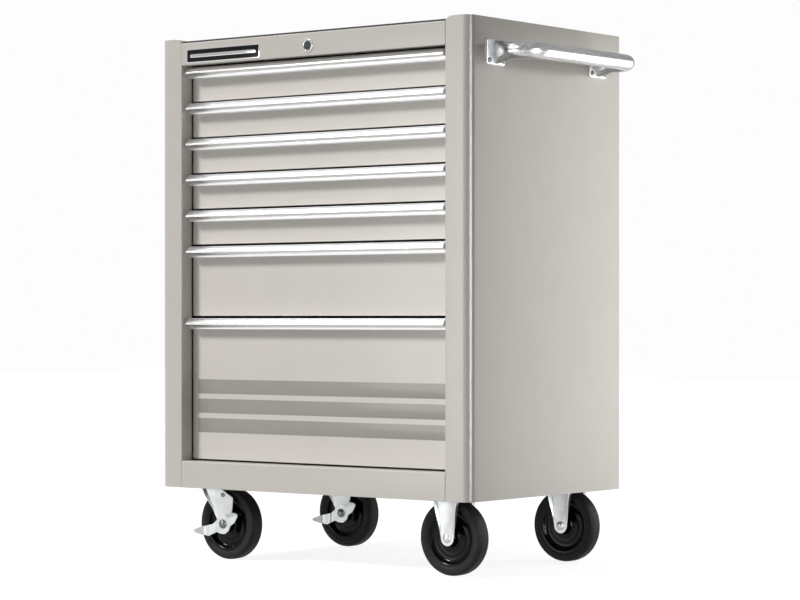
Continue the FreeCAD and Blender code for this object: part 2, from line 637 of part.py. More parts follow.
def casters():
    """Two fixed casters on the right and two swivel casters with brakes on the left."""
    plate_top = "(%s-wheel_radius)" % Z_PAN
    pin_hole = cylinder("axle_radius", "80", "0", "-40", "0", "Y")
    axle_bolts = []
    fixed = []
    high = plate_top + "-leg_sheet/2"
    shape = [("fixed_flare", high), ("-fixed_flare", high)]
    edges = [("-leg_foot", "-fixed_flare", high), ("leg_foot", "fixed_flare", high)]
    for place in ("front_right", "rear_right"):
        x, y = CASTERS[place]
        wheel(place, x, y)
        crown = box("-fixed_crown", "fixed_crown", "-plate_half", "plate_half",
                    plate_top + "-leg_sheet", plate_top)
        solid = cut(fuse(legs(place, shape, edges) + [crown]), [pin_hole])
        fixed.append(at(solid, x, y, "wheel_radius"))
        axle_bolts.append(axle(x, y, "leg_half"))
    node("fixed_caster_forks", fuse(fixed))

    under = plate_top + "-plate_caster"
    crown_top = under + "-race_height"
    head = crown_top + "-leg_sheet-king_head_high-0.6"
    high = crown_top + "-leg_sheet/2"
    shape = [("swivel_front", "shoulder_low"), ("0", "shoulder_high"), ("0", high),
             ("-swivel_rear", high)]
    edges = [("-leg_foot", "-swivel_rear", high)]
    plates = []
    for place in ("front_left", "rear_left"):
        x, y = CASTERS[place]
        wheel(place, x, y)
        crown = [box("-swivel_rear", "0", "-crown_half", "crown_half",
                     crown_top + "-leg_sheet", crown_top),
                 cylinder("race_radius", "race_height-0.4", "-trail", "0", crown_top)]
        king_hole = cylinder("king_pin+running_gap", "40", "-trail", "0", crown_top + "-20")
        solid = cut(fuse(legs(place, shape, edges) + crown), [pin_hole, king_hole])
        node("%s_fork" % place, at(solid, x, y, "wheel_radius"))
        plate = fuse([box("-trail-plate_reach", "-trail+plate_reach", "-plate_half", "plate_half",
                          under, plate_top),
                      cylinder("king_pin", "race_height+leg_sheet+king_head_high+1",
                               "-trail", "0", head),
                      cylinder("king_head", "king_head_high", "-trail", "0", head)])
        plates.append(at(plate, x, y, "wheel_radius"))
        node("%s_axle" % place, axle(x, y, "leg_half+lever_sheet+2*lever_gap"))
        lever(place, x, y)
    node("swivel_top_plates", fuse(plates))
    return axle_bolts


def axle(x, y, front):
    """An axle bolt with its head at a distance in front of the wheel's middle and a nut behind."""
    start, end = "%s-(%s)" % (y, front), "%s+leg_half" % y
    return fuse([cylinder("axle_radius", "%s-(%s)" % (end, start), x, start, "wheel_radius", "Y"),
                 cylinder("axle_head", "axle_head_high", x, start + "-axle_head_high",
                          "wheel_radius", "Y"),
                 cylinder("axle_head", "nut_high", x, end, "wheel_radius", "Y")])


def lever(place, x, y):
    """A foot brake that pivots on the axle: a boss, a pedal arm and a shoe arm."""
    front = "-(leg_half+lever_sheet+lever_gap)"
    back = front + "+lever_sheet"
    boss = cylinder("lever_boss", "lever_sheet", "0", front, "0", "Y")
    arm = tilted_box("0", "pedal_arm", front, back, "-7", "8", 190)
    shoe = tilted_box("0", "shoe_arm", front, back, "-11", "12", 28)
    pedal = tilted_box("pedal_arm-pedal_long", "pedal_arm", front + "-pedal_deep", back,
                       "-7", "-7+lever_sheet", 190)
    bore = cylinder("axle_radius+running_gap", "60", "0", "-60", "0", "Y")
    solid = cut(fuse([boss, arm, shoe, pedal]), [bore])
    node("%s_brake_lever" % place, at(solid, x, y, "wheel_radius"))


def fasteners(others):
    """Bolt heads under the casters' plates, with the axle bolts and screws made earlier."""
    heads = []
    for place, (x, y) in CASTERS.items():
        swivel = place.endswith("left")
        middle = "%s-trail" % x if swivel else x
        under = Z_PAN + ("-plate_caster" if swivel else "-leg_sheet")
        wide, deep = ("42", "21") if swivel else ("30", "11")
        for a in ("-", "+"):
            for b in ("-", "+"):
                heads.append(cylinder("bolt_head", "bolt_high", middle + a + wide, y + b + deep,
                                      under + "-bolt_high"))
    node("bolts_and_screws", fuse(heads + others))


cabinet()
drawers()
lock()
screws = grab_handle()
axle_bolts = casters()
fasteners(screws + axle_bolts)
doc.recompute()

for thing in doc.Objects:
    if "Invalid" in thing.State or "Error" in thing.State:
        raise RuntimeError("%s (%s) did not compute: %s" % (thing.Label, thing.TypeId, thing.State))
for thing in NODES:
    if thing.Shape.isNull() or not thing.Shape.isValid():
        raise RuntimeError(thing.Label + " has no valid shape")

os.makedirs("parts", exist_ok=True)
for thing in NODES:
    thing.Shape.exportStep("parts/%s.step" % thing.Label)
box_all = Part.makeCompound([thing.Shape for thing in NODES]).BoundBox
print("nodes", len(NODES))
print("box X %.1f..%.1f  Y %.1f..%.1f  Z %.1f..%.1f" % (
    box_all.XMin, box_all.XMax, box_all.YMin, box_all.YMax, box_all.ZMin, box_all.ZMax))
for thing in NODES:
    print("%-28s solids %2d  faces %4d  volume %10.0f" % (
        thing.Label, len(thing.Shape.Solids), len(thing.Shape.Faces), thing.Shape.Volume))
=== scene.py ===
"""Looks of a rolling tool chest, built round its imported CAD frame. Metres, +Z up, front to -Y."""
import math

import bmesh
import bpy
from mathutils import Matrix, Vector
from mathutils.geometry import delaunay_2d_cdt


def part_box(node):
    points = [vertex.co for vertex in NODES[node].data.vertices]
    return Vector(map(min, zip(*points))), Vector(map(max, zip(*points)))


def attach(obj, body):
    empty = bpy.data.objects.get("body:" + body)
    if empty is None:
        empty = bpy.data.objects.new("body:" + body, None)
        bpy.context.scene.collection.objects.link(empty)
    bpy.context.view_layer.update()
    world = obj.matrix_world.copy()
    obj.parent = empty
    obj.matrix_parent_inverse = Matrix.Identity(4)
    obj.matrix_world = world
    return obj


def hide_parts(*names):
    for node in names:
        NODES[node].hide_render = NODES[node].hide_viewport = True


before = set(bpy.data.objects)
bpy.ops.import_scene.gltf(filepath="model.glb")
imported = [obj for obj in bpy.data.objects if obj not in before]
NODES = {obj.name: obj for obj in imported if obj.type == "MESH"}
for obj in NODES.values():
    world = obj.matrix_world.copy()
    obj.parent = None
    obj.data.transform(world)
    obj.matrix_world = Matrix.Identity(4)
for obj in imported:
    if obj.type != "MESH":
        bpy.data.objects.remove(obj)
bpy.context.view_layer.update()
MM = 0.001


# Materials -----------------------------------------------------------------------------------

def new_material(name, colour, rough, metallic=0.0, **sockets):
    """A Principled material with its even values set on the shader's own sockets."""
    mat = bpy.data.materials.new(name)
    mat.use_nodes = True
    shader = mat.node_tree.nodes["Principled BSDF"]
    shader.inputs["Base Color"].default_value = (*colour, 1)
    shader.inputs["Roughness"].default_value = rough
    shader.inputs["Metallic"].default_value = metallic
    for socket, number in sockets.items():
        shader.inputs[socket.replace("_", " ")].default_value = number
    return mat


def add(mat, kind, **values):
    """A node of the material's tree, with attributes or input values set."""
    made = mat.node_tree.nodes.new(kind)
    for name, number in values.items():
        if hasattr(made, name):
            setattr(made, name, number)
        else:
            made.inputs[name.replace("_", " ")].default_value = number
    return made


def join(mat, source, output, target, entry):
    """Link an output of one node to an input of another."""
    mat.node_tree.links.new(source.outputs[output], target.inputs[entry])


def coordinates(mat, stretch=(1, 1, 1)):
    """The object's own coordinates in metres, stretched along the axes."""
    place = add(mat, "ShaderNodeTexCoord")
    mapping = add(mat, "ShaderNodeMapping")
    mapping.inputs["Scale"].default_value = stretch
    join(mat, place, "Object", mapping, "Vector")
    return mapping


def noise(mat, scale, detail=2.0, stretch=(1, 1, 1), rough=0.5):
    """Noise over the object's coordinates; scale counts features per metre."""
    made = add(mat, "ShaderNodeTexNoise", Scale=scale, Detail=detail, Roughness=rough)
    join(mat, coordinates(mat, stretch), "Vector", made, "Vector")
    return made


def spread(mat, source, output, low, high, entry):
    """Map a 0 to 1 value to a range and give it to the shader."""
    shader = mat.node_tree.nodes["Principled BSDF"]
    ramp = add(mat, "ShaderNodeMapRange", To_Min=low, To_Max=high)
    join(mat, source, output, ramp, "Value")
    join(mat, ramp, "Result", shader, entry)


def tint(mat, source, output, low, high):
    """Mix two colours by a value and give the result to the shader."""
    shader = mat.node_tree.nodes["Principled BSDF"]
    ramp = add(mat, "ShaderNodeValToRGB")
    ramp.color_ramp.elements[0].color = (*low, 1)
    ramp.color_ramp.elements[0].position = 0.3
    ramp.color_ramp.elements[1].color = (*high, 1)
    ramp.color_ramp.elements[1].position = 0.7
    join(mat, source, output, ramp, "Fac")
    join(mat, ramp, "Color", shader, "Base Color")


def bump(mat, source, output, height, strength=1.0):
    """Height detail in metres from a 0 to 1 value, stacked on any bump already there."""
    shader = mat.node_tree.nodes["Principled BSDF"]
    made = add(mat, "ShaderNodeBump", Strength=strength, Distance=height)
    join(mat, source, output, made, "Height")
    links = shader.inputs["Normal"].links
    if links:
        mat.node_tree.links.new(links[0].from_socket, made.inputs["Normal"])
    join(mat, made, "Normal", shader, "Normal")


def shade(colour, factor):
    """A colour made lighter or darker."""
    return tuple(c * factor for c in colour)


def painted(name, colour, rough):
    """Powder coat: an even colour with a fine orange-peel skin and a faint mottle."""
    mat = new_material(name, colour, rough, Specular_IOR_Level=0.5, Coat_Weight=0.4, Coat_Roughness=0.15)
    tint(mat, noise(mat, 14, 3), "Fac", shade(colour, 0.985), shade(colour, 1.015))
    spread(mat, noise(mat, 60, 4), "Fac", rough - 0.04, rough + 0.05, "Roughness")
    bump(mat, noise(mat, 900, 2), "Fac", 0.00002, 0.35)
    return mat


def brushed(name, colour, rough, stretch, depth=0.000012):
    """Metal with fine lines along one axis: lines come from noise squeezed along the others."""
    mat = new_material(name, colour, rough, 1.0)
    lines = noise(mat, 1, 4, stretch, 0.6)
    tint(mat, lines, "Fac", shade(colour, 0.94), colour)
    spread(mat, lines, "Fac", rough - 0.05, rough + 0.08, "Roughness")
    bump(mat, lines, "Fac", depth, 0.4)
    return mat


def plated(name, colour, rough):
    """Zinc plate on pressed steel: a soft cloudy lustre with faint spangle."""
    mat = new_material(name, colour, rough, 1.0)
    clouds = noise(mat, 90, 5)
    tint(mat, clouds, "Fac", shade(colour, 0.9), shade(colour, 1.03))
    spread(mat, noise(mat, 260, 4), "Fac", rough - 0.07, rough + 0.09, "Roughness")
    bump(mat, noise(mat, 700, 3), "Fac", 0.00003, 0.3)
    return mat


def polished(name, colour, rough):
    """Chrome: a mirror with the slight waviness of a buffed surface."""
    mat = new_material(name, colour, rough, 1.0)
    spread(mat, noise(mat, 120, 3), "Fac", rough * 0.8, rough * 1.3, "Roughness")
    bump(mat, noise(mat, 45, 2), "Fac", 0.00006, 0.25)
    return mat


def mirror_with_painted_reflections(name, dark, light, rough, stretch):
    """Drawn tube: a mirror whose colour runs in long uneven bands from dark to light, painted reflections
    of the surroundings that also give a fine bump, with a coarser change of lustre.
    """
    mat = new_material(name, light, rough, 1.0)
    painted_reflection_streaks = noise(mat, 1, 5, stretch, 0.65)
    coarse = tuple(0.6 * s for s in stretch)
    # The dark to light bands of colour are painted reflections.
    tint(mat, painted_reflection_streaks, "Fac", dark, light)
    spread(mat, noise(mat, 1, 3, coarse), "Fac", rough - 0.08, rough + 0.12, "Roughness")
    bump(mat, painted_reflection_streaks, "Fac", 0.00012, 0.35)
    return mat


def moulded(name, colour, rough, grain, height):
    """Rubber or plastic: an even colour with a fine moulded grain."""
    mat = new_material(name, colour, rough, Specular_IOR_Level=0.14)
    tint(mat, noise(mat, 40, 4), "Fac", shade(colour, 0.85), shade(colour, 1.15))
    spread(mat, noise(mat, 150, 3), "Fac", max(rough - 0.06, 0.02), rough + 0.08, "Roughness")
    bump(mat, noise(mat, grain, 3), "Fac", height, 0.5)
    return mat


WAVE_LENGTH = math.pi / 10      # of a wave texture at scale 1, in metres


def ribbed(name, colour, pitch):
    """A rubber mat with fine ribs that run along X."""
    mat = new_material(name, colour, 0.62)
    wave = add(mat, "ShaderNodeTexWave", Scale=WAVE_LENGTH / pitch, Distortion=0.0)
    wave.bands_direction = "Y"
    join(mat, coordinates(mat), "Vector", wave, "Vector")
    bump(mat, wave, "Fac", 0.0006, 0.8)
    bump(mat, noise(mat, 900, 2), "Fac", 0.00005, 0.4)
    tint(mat, noise(mat, 25, 4), "Fac", shade(colour, 0.8), shade(colour, 1.2))
    return mat


PAINT_COLOUR = (0.60, 0.568, 0.522)
PAINT = painted("powder_coat_drawers", PAINT_COLOUR, 0.42)
# The carcass paint is the drawers' powder coat made a tenth darker: painted shade, a shaded copy of the
# same paint for the posts, sides, fascia, rail and caps.
CARCASS_PAINTED_SHADE = painted("powder_coat_carcass_painted_shade", shade(PAINT_COLOUR, 0.9), 0.42)
PRINT = painted("printed_band_grey", (0.30, 0.278, 0.25), 0.45)
ALUMINIUM = brushed("brushed_aluminium", (0.90, 0.90, 0.91), 0.24, (6, 1500, 1500))
ZINC = plated("zinc_plate", (0.53, 0.545, 0.55), 0.38)
GALVANISED = plated("slide_steel", (0.62, 0.63, 0.64), 0.38)
BOLT = plated("fastener_steel", (0.16, 0.165, 0.17), 0.30)
CHROME = polished("chrome", (0.80, 0.80, 0.81), 0.09)
# The grab tube's dark to light colour bands are painted reflections.
TUBE = mirror_with_painted_reflections("tube_with_painted_reflections", (0.34, 0.34, 0.345), (0.70, 0.70, 0.705), 0.2, (130, 7, 130))
LOCK_CORE = polished("lock_core", (0.10, 0.10, 0.105), 0.16)
MAT = ribbed("ribbed_mat", (0.022, 0.022, 0.023), 0.004)
LINER = ribbed("drawer_liner", (0.018, 0.019, 0.021), 0.006)
TYRE = moulded("tyre_rubber", (0.021, 0.019, 0.018), 0.55, 700, 0.00012)
HUB = moulded("gloss_black_hub", (0.003, 0.003, 0.0035), 0.16, 300, 0.00003)
BADGE = moulded("badge_black", (0.008, 0.008, 0.009), 0.16, 500, 0.00002)


# Mesh helpers --------------------------------------------------------------------------------

def piece(name, mesh_data, mat, body, replaced=(), smooth=40):
    """Make a mesh into a named piece of a body; replaced names the CAD nodes that it stands for."""
    thing = bpy.data.objects.new(name, mesh_data)
    bpy.context.scene.collection.objects.link(thing)
    mesh_data.materials.append(mat)
    soften(mesh_data, smooth)
    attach(thing, body)
    if replaced:
        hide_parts(*replaced)
    return thing


def soften(mesh_data, angle):
    """Shade smooth, keeping edges sharper than an angle."""
    mesh_data.polygons.foreach_set("use_smooth", [True] * len(mesh_data.polygons))
    mesh_data.set_sharp_from_angle(angle=math.radians(angle))


def from_bmesh(name, bm):
    """A mesh from a bmesh, with its faces turned outwards."""
    bmesh.ops.recalc_face_normals(bm, faces=bm.faces)
    mesh_data = bpy.data.meshes.new(name)
    bm.to_mesh(mesh_data)
    bm.free()
    return mesh_data


def bevelled(thing, width, segments=2, angle=35):
    """Round the piece's edges."""
    mod = thing.modifiers.new("edge", "BEVEL")
    mod.width = width
    mod.segments = segments
    mod.limit_method = "ANGLE"
    mod.angle_limit = math.radians(angle)
    mod.harden_normals = True
    return thing


def rings_to_mesh(name, rings, wrap=False):
    """Skin a list of equal rings of points, capped at both ends; wrap joins the ends instead."""
    bm = bmesh.new()
    verts = [[bm.verts.new(p) for p in ring] for ring in rings]
    count = len(rings[0])
    pairs = list(zip(verts, verts[1:])) + ([(verts[-1], verts[0])] if wrap else [])
    for first, second in pairs:
        for i in range(count):
            j = (i + 1) % count
            bm.faces.new((first[i], first[j], second[j], second[i]))
    if not wrap:
        bm.faces.new(list(reversed(verts[0])))
        bm.faces.new(verts[-1])
    return from_bmesh(name, bm)


def corner_arc(a, b, c, radius, steps=5):
    """Points that round the corner b between a and c."""
    a, b, c = Vector(a), Vector(b), Vector(c)
    u, v = (a - b).normalized(), (c - b).normalized()
    half = u.angle(v) / 2
    longest = 0.48 * min((a - b).length, (c - b).length)     # leaves room for the next corner's arc
    run = min(radius / math.tan(half), longest)
    radius = run * math.tan(half)
    centre = b + (u + v).normalized() * (radius / math.sin(half))
    start, end = b + u * run - centre, b + v * run - centre
    turn = start.angle_signed(end)
    points = []
    for i in range(steps + 1):
        angle = -turn * i / steps
        points.append(centre + Vector((start.x * math.cos(angle) - start.y * math.sin(angle),
                                       start.x * math.sin(angle) + start.y * math.cos(angle))))
    return points


def rounded(corners, radius, steps=5):
    """A closed outline with its corners rounded; a corner may bring its own radius as a third value."""
    points = []
    count = len(corners)
    for i in range(count):
        before, here, after = corners[i - 1], corners[i], corners[(i + 1) % count]
        own = here[2] if len(here) > 2 else radius
        if own <= 0:
            points.append(Vector(here[:2]))
        else:
            points += corner_arc(before[:2], here[:2], after[:2], own, steps)
    return points


def inset(points, distances):
    """Move each point of a closed counter-clockwise outline inwards by its own distance."""
    moved = []
    count = len(points)
    for i in range(count):
        along = (points[(i + 1) % count] - points[i]).normalized()
        back = (points[i] - points[i - 1]).normalized()
        normal = Vector((-along.y - back.y, along.x + back.x))
        normal.normalize()
        stretch = max(normal.dot(Vector((-along.y, along.x))), 0.5)
        moved.append(points[i] + normal * (distances[i] / stretch))
    return moved


def turned(name, section, origin, segments=96):
    """Turn a closed section of (y, r) points in millimetres about the Y axis through a point."""
    rings = []
    for i in range(segments):
        angle = 2 * math.pi * i / segments
        spoke = Vector((math.sin(angle), 0, math.cos(angle)))
        rings.append([(origin + spoke * r + Vector((0, y, 0))) * MM for y, r in section])
    return rings_to_mesh(name, rings, wrap=True)


def turned_z(name, section, origin, segments=64):
    """Turn a closed section of (r, z) points in millimetres about the Z axis through a point."""
    rings = []
    for i in range(segments):
        angle = 2 * math.pi * i / segments
        spoke = Vector((math.cos(angle), math.sin(angle), 0))
        rings.append([(origin + spoke * r + Vector((0, 0, z))) * MM for r, z in section])
    return rings_to_mesh(name, rings, wrap=True)


def merged(name, meshes):
    """Join several meshes into one."""
    bm = bmesh.new()
    for one in meshes:
        bm.from_mesh(one)
        bpy.data.meshes.remove(one)
    return from_bmesh(name, bm)


def triangulated(points, holes=(), grid=0.0):
    """Triangles over a closed outline with holes, with inner points on a grid where one is asked for."""
    flat = list(points)
    edges = [(i, (i + 1) % len(points)) for i in range(len(points))]
    for hole in holes:
        start = len(flat)
        flat += list(hole)
        edges += [(start + i, start + (i + 1) % len(hole)) for i in range(len(hole))]
    if grid:
        low = [min(p[i] for p in points) for i in (0, 1)]
        high = [max(p[i] for p in points) for i in (0, 1)]
        rims = [points, *holes]
        for i in range(1, int((high[0] - low[0]) / grid)):
            for j in range(1, int((high[1] - low[1]) / grid)):
                spot = Vector((low[0] + i * grid, low[1] + j * grid))
                if inside(spot, points) and not any(inside(spot, hole) for hole in holes):
                    if all((spot - p).length > grid * 0.6 for rim in rims for p in rim):
                        flat.append(spot)
    verts, _, faces, _, _, _ = delaunay_2d_cdt([Vector(p) for p in flat], edges, [], 0, 0.001)
    kept = []
    for face in faces:
        middle = sum((verts[i] for i in face), Vector((0, 0))) / len(face)
        if inside(middle, points) and not any(inside(middle, hole) for hole in holes):
            kept.append(face)
    return verts, kept


def inside(spot, outline):
    """Whether a point lies inside a closed outline, from the edges crossed on the way out."""
    odd = False
    for i in range(len(outline)):
        a, b = outline[i - 1], outline[i]
        if (a[1] > spot[1]) != (b[1] > spot[1]):
            if spot[0] < (b[0] - a[0]) * (spot[1] - a[1]) / (b[1] - a[1]) + a[0]:
                odd = not odd
    return odd


def sheet_plate(name, points, holes, place, thick, grid=0.0):
    """A plate of even thickness over an outline; place(u, v, depth) gives a point of it in metres."""
    verts, faces = triangulated(points, holes, grid)
    bm = bmesh.new()
    front = [bm.verts.new(place(v.x, v.y, 0.0)) for v in verts]
    back = [bm.verts.new(place(v.x, v.y, thick)) for v in verts]
    sides = {}
    for face in faces:
        bm.faces.new([front[i] for i in face])
        bm.faces.new([back[i] for i in reversed(face)])
        for i in range(len(face)):
            a, b = face[i], face[(i + 1) % len(face)]
            if (b, a) in sides:
                del sides[(b, a)]
            else:
                sides[(a, b)] = True
    for a, b in sides:
        bm.faces.new((front[b], front[a], back[a], back[b]))
    return from_bmesh(name, bm)


def ring_of(radius, count=40, turn=0.0):
    """Points round a circle, the first one turned from the U axis by an angle in degrees."""
    angles = [math.radians(360 * i / count + turn) for i in range(count)]
    return [Vector((radius * math.cos(angle), radius * math.sin(angle))) for angle in angles]


def divided(points, step):
    """An outline with its long runs cut into shorter ones."""
    dense = []
    for i in range(len(points)):
        a, b = points[i], points[(i + 1) % len(points)]
        parts = max(1, round((b - a).length / step))
        dense += [a.lerp(b, j / parts) for j in range(parts)]
    return dense


def smooth_step(x):
    """A soft rise from 0 to 1."""
    x = min(max(x, 0.0), 1.0)
    return x * x * (3 - 2 * x)


# CAD nodes that stay -------------------------------------------------------------------------

def finish_node(name, mat, edge=0.0004, smooth=30):
    """Give a CAD node its material, and small rounded edges through modifiers."""
    thing = NODES[name]
    mesh_data = thing.data
    mesh_data.materials.clear()
    mesh_data.materials.append(mat)
    if "custom_normal" in mesh_data.attributes:
        mesh_data.attributes.remove(mesh_data.attributes["custom_normal"])
    mesh_data.polygons.foreach_set("use_smooth", [True] * len(mesh_data.polygons))
    weld = thing.modifiers.new("weld", "WELD")
    weld.merge_threshold = 0.00001
    flat = thing.modifiers.new("flat", "DECIMATE")
    flat.decimate_type = "DISSOLVE"
    flat.angle_limit = math.radians(0.5)
    bevelled(thing, edge, 2, smooth)


DRAWERS = range(1, 8)
# The carcass parts take the shaded copy of the drawers' paint: painted shade.
for node in ("left_side_panel", "right_side_panel", "back_panel", "bottom_pan", "top_plate",
             "lock_fascia", "bottom_rail"):
    finish_node(node, CARCASS_PAINTED_SHADE)
finish_node("top_mat", MAT)
finish_node("lock_bar", GALVANISED, 0.0003)
for node in ("cabinet_slide_rails", "slide_uprights"):
    finish_node(node, GALVANISED, 0.0003)
for k in DRAWERS:
    finish_node("drawer_%d_tray" % k, PAINT, 0.0003)
    finish_node("drawer_%d_handle" % k, ALUMINIUM, 0.0005, 25)
    finish_node("drawer_%d_slide_middles" % k, GALVANISED, 0.0003)
    finish_node("drawer_%d_runners" % k, GALVANISED, 0.0003)
finish_node("lock_housing", CHROME, 0.0005)
finish_node("lock_barrel", LOCK_CORE, 0.0003)


# Casters -------------------------------------------------------------------------------------

def at_y(origin, side):
    """Places a shape that stands off an XZ face, outwards along one way of Y."""
    return lambda u, v, h: (origin + Vector((u, side * h, v))) * MM


def at_x(origin):
    """Places a shape that stands off a face to the right."""
    return lambda u, v, h: (origin + Vector((h, u, v))) * MM


def hanging(origin):
    """Places a shape that hangs under a level face."""
    return lambda u, v, h: (origin + Vector((u, v, -h))) * MM


def stack(name, points, layers, place):
    """Skin an outline scaled by each layer's factor and stood off by its height."""
    return rings_to_mesh(name, [[place(p.x * k, p.y * k, h) for p in points] for k, h in layers])


def bolt_head(name, place, radius, height):
    """A hexagon head with a chamfered crown on a thin washer."""
    washer = stack(name + "_washer", ring_of(radius * 1.12, 36), [(1, 0), (1, 0.7), (0.96, 1.0)], place)
    hexagon = divided(rounded(ring_of(radius, 6, 12), 0.6, 2), 2.5)
    layers = [(1, 0.6), (1, height - 1.1), (0.97, height - 0.5), (0.84, height), (0.5, height)]
    head = stack(name + "_head", hexagon, layers, place)
    return merged(name, [washer, head])


def dome_head(name, place, radius, height):
    """A round domed head on a narrow flange."""
    foot = 0.9
    flange = [(1.12, 0), (1.12, 0.7), (1.02, foot)]
    angles = [math.radians(a) for a in range(0, 90, 9)]
    crown = [(math.cos(angle), foot + (height - foot) * math.sin(angle)) for angle in angles]
    return stack(name, ring_of(radius), flange + crown, place)


FOOT_RADIUS = 13
FOOT = [(FOOT_RADIUS * math.cos(math.radians(a)), FOOT_RADIUS * math.sin(math.radians(a)), 0)
        for a in range(180, 361, 9)]
LEG_SHEET = 2.5
LEG_HALF = 20.5         # from the wheel's middle to a leg's outer face, at the axle
SPLAY = 4.5             # how much further out a swivel fork's leg stands at its crown
RIM_SHEET = 1.8
RIM_HIGH = 6.5          # a fixed fork's full rim, for which a leg's lean is given
TRAIL = 34
PLATE_SHEET = 4
RACE_HIGH = 12
FIXED_BOLTS = (30, 11)  # half the distances between the plate's bolts
SWIVEL_BOLTS = (42, 21)
CROWN_GAP = 1.2         # from the legs' tops to the crown's top
LEVER_GAP = 0.4         # on either side of the brake lever, between the fork's leg and the axle's head


def leg(name, corners, origin, side, rim, lean, splay=0.0):
    """A pressed leg: a cheek that splays from foot to crown, its edges turned outwards by rim(point).

    lean is how far the foot of a full rim stands in from the rim's inner edge.
    """
    points = divided(rounded(corners, 3), 4)
    rims = [rim(p) for p in points]
    fillet = 0.5

    def bend(p):
        return smooth_step((p.y - 22) / 34)
    # Each layer: its inset, its share of the rim's lean, and its height over the inner face for a rim d.
    layers = [(2.2, 0, lambda d: 0), (0.7, 0, lambda d: 0.7), (0, 0, lambda d: 2.0),
              (0, 0, lambda d: LEG_SHEET + d - fillet),
              (fillet, 0, lambda d: LEG_SHEET + d),
              (RIM_SHEET - fillet, 0, lambda d: LEG_SHEET + d),
              (RIM_SHEET, 0, lambda d: LEG_SHEET + max(d - fillet, 0)),
              (1.9, 0.2, lambda d: LEG_SHEET + max(d - fillet, 0) * 0.8),
              (2.0, 1, lambda d: LEG_SHEET + min(d, 0.4)),
              (2.6, 1.3, lambda d: LEG_SHEET)]
    rings = []
    for distance, share, rise in layers:
        moved = inset(points, [distance + share * lean * d / RIM_HIGH for d in rims])
        ring = []
        for p, d in zip(moved, rims):
            out = LEG_HALF - LEG_SHEET + rise(d) + splay * bend(p)
            ring.append((origin + Vector((p.x, side * out, p.y))) * MM)
        rings.append(ring)
    return rings_to_mesh(name, rings)


def level_plate(name, x0, x1, y0, y1, z0, z1, radius, origin):
    """A flat plate with rounded corners, between corners about an origin, in millimetres."""
    points = rounded([(x0, y0), (x1, y0), (x1, y1), (x0, y1)], radius)
    return sheet_plate(name, points, (), lambda u, v, h: (origin + Vector((u, v, z1 - h))) * MM, z1 - z0)


def tyre(caster, origin):
    """A solid rubber tyre: a flat side ring, a round shoulder and a crowned tread between two grooves."""
    half = [(12.9, 47.6), (12.9, 49.6), (13.6, 50.2), (14.0, 51.4), (14.0, 56.4), (13.6, 58.4),
            (12.7, 60.0), (11.7, 60.9), (10.9, 61.2), (10.5, 61.0), (10.1, 61.3), (9.5, 62.0),
            (7.5, 62.35), (4.0, 62.5)]
    section = [(-y, r) for y, r in half] + list(reversed(half))
    rubber = turned(caster + "_rubber", section, origin, 128)
    piece(caster + "_rubber", rubber, TYRE, caster + "_wheel", [caster + "_tyre"], 50)


def hub(caster, origin):
    """A moulded wheel centre: a long boss, a dished web with a raised ring, and a rolled rim."""
    half = [(17.4, 5.3), (17.6, 6.0), (17.6, 11.6), (17.0, 12.6), (15.8, 13.0), (9.4, 14.2),
            (6.9, 15.4), (5.9, 17.6), (5.5, 20.5), (5.5, 26.6), (5.6, 27.4), (5.9, 28.0),
            (5.9, 29.0), (5.6, 29.6), (5.5, 30.4), (5.5, 35.6), (6.0, 38.0), (7.6, 40.4),
            (10.2, 41.9), (11.4, 42.8), (12.2, 44.2), (12.5, 45.6), (12.5, 47.7)]
    section = [(-y, r) for y, r in half] + list(reversed(half))
    centre = turned(caster + "_centre", section, origin, 128)
    piece(caster + "_centre", centre, HUB, caster + "_wheel", [caster + "_hub"], 50)


def fixed_fork(caster, origin, top, replaced):
    """The two cheeks and the crown of a fixed caster."""
    corners = FOOT + [(29, top - CROWN_GAP, 0), (-29, top - CROWN_GAP, 0)]

    def rim(p):
        return RIM_HIGH * smooth_step((p.y - 3) / 50)
    cheeks = [leg(caster + "_cheek", corners, origin, side, rim, 2.2) for side in (-1, 1)]
    crown = level_plate(caster + "_crown", -40, 40, -28, 28, top - LEG_SHEET, top, 5, origin)
    thing = piece(caster + "_fork_body", merged(caster + "_fork_body", cheeks + [crown]), ZINC,
                  "cabinet", replaced)
    bevelled(thing, 0.0003, 2, 50)


